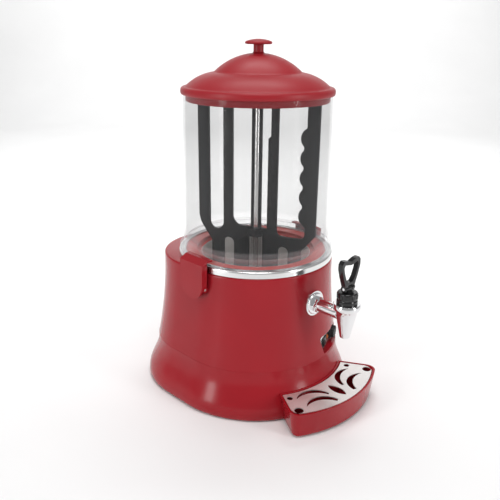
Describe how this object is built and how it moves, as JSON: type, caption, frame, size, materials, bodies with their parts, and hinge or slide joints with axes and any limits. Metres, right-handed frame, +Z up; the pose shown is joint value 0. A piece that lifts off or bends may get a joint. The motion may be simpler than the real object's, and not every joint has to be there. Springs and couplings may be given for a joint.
{
  "type": "heated drinks dispenser",
  "caption": "Countertop heated dispenser with clear round tank, stirrer, red moulded base, lever tap, latches, drip tray and rear power inlet.",
  "frame": {"origin": "centre of the whole machine's bounding box, on the surface that it stands on", "axes": "+Z up, the tap and drip tray towards -Y, and the machine's left side, for someone facing the tap, towards -X"},
  "size_m": [0.32, 0.4, 0.57],
  "materials": {
    "red_shell": "glossy deep red moulded ABS shell",
    "clear_tank": "clear polycarbonate, drawn smooth",
    "red_silicone": "orange-red silicone",
    "smoke_plastic": "smoky translucent nylon tube",
    "black_gloss": "black glossy moulded plastic",
    "black_matte": "black moulded plastic, fine satin texture",
    "stainless": "brushed stainless steel",
    "chrome": "polished chrome plate",
    "zinc_steel": "zinc plated steel fasteners",
    "rubber_black": "black rubber",
    "silicone_white": "off-white silicone",
    "motor_paint": "black painted motor case",
    "brass_part": "plain brass",
    "amber_lens": "amber translucent lens"
  },
  "bodies": {
    "machine": {"upper_shell": "red_shell", "lower_skirt": "red_shell", "base_plate": "stainless", "base_screws": "zinc_steel", "rubber_feet": "rubber_black", "foot_screws": "zinc_steel", "water_bath": "stainless", "product_pot": "stainless", "outlet_sleeve": "stainless", "rim_ring": "chrome", "tank_gasket": "red_silicone", "heating_element": "stainless", "element_terminals": "brass_part", "element_nuts": "brass_part", "temperature_sensor": "stainless", "thermal_cutout": "black_matte", "motor_bracket": "zinc_steel", "gearbox": "motor_paint", "drive_motor": "motor_paint", "motor_screws": "zinc_steel", "shaft_tube": "stainless", "shaft_seal": "silicone_white", "tank": "clear_tank", "escutcheon": "chrome", "shank_nut": "chrome", "shank_lock_nut": "brass_part", "shank_washer": "silicone_white", "tap_body": "chrome", "tap_bonnet": "black_gloss", "lever_pin": "chrome", "valve_spring": "zinc_steel", "latch_pins": "zinc_steel", "control_panel": "stainless", "switch_housing": "black_matte", "indicator_lamp": "amber_lens", "thermostat": "black_matte", "power_inlet": "black_matte", "inlet_pins": "brass_part", "inlet_screws": "zinc_steel", "terminal_block": "black_matte"},
    "agitator": {"paddle": "black_matte", "stirrer_rod": "stainless", "rod_nut": "black_gloss", "rod_sleeve": "smoke_plastic", "drive_shaft": "stainless", "shaft_coupling": "stainless"},
    "lid": {"lid": "red_shell", "lid_knob": "red_shell", "knob_screw": "zinc_steel"},
    "tap_lever": {"tap_lever": "black_gloss"},
    "valve": {"valve_seal": "silicone_white", "valve_stem": "stainless"},
    "latch_left": {"latch_left": "red_shell"},
    "latch_right": {"latch_right": "red_shell"},
    "drip_tray": {"drip_tray": "red_shell"},
    "drip_grate": {"drip_grate": "stainless"},
    "temperature_knob": {"temperature_knob": "black_matte", "thermostat_spindle": "zinc_steel"},
    "power_rocker": {"power_rocker": "black_gloss"}
  },
  "joints": [
    {"name": "lid_lift", "type": "slide", "parent": "machine", "child": "lid", "axis": [0, 0, 1], "range_m": [0, 0.12]},
    {"name": "stirrer_spin", "type": "hinge", "parent": "machine", "child": "agitator", "pos_m": [0, 0.018, 0.25], "axis": [0, 0, 1], "continuous": true},
    {"name": "tap_lever_tilt", "type": "hinge", "parent": "machine", "child": "tap_lever", "pos_m": [0, -0.175, 0.222], "axis": [1, 0, 0], "range_deg": [0, 40], "stiffness_Nm_per_rad": 0.35, "springref_deg": -11.46},
    {"name": "valve_lift", "type": "slide", "parent": "machine", "child": "valve", "axis": [0, 0, 1], "range_m": [0, 0.0056], "deforming": ["valve_spring"]},
    {"name": "latch_left_swing", "type": "hinge", "parent": "machine", "child": "latch_left", "pos_m": [-0.134, 0.018, 0.205], "axis": [0, -1, 0], "range_deg": [0, 24]},
    {"name": "latch_right_swing", "type": "hinge", "parent": "machine", "child": "latch_right", "pos_m": [0.134, 0.018, 0.205], "axis": [0, 1, 0], "range_deg": [0, 24]},
    {"name": "tray_slide", "type": "slide", "parent": "machine", "child": "drip_tray", "axis": [0, -1, 0], "range_m": [0, 0.12]},
    {"name": "grate_lift", "type": "slide", "parent": "drip_tray", "child": "drip_grate", "axis": [0, 0, 1], "range_m": [0, 0.06]},
    {"name": "temperature_turn", "type": "hinge", "parent": "machine", "child": "temperature_knob", "pos_m": [0.06932, -0.09344, 0.09675], "axis": [-0.4067, 0.9135, 0], "range_deg": [0, 270]},
    {"name": "power_rock", "type": "hinge", "parent": "machine", "child": "power_rocker", "pos_m": [0.03124, -0.10996, 0.09675], "axis": [0, 0, 1], "range_deg": [0, 16]}
  ],
  "couplings": [
    {"joint": "valve_lift", "follows": "tap_lever_tilt", "m_per_rad": 0.00788}
  ]
}
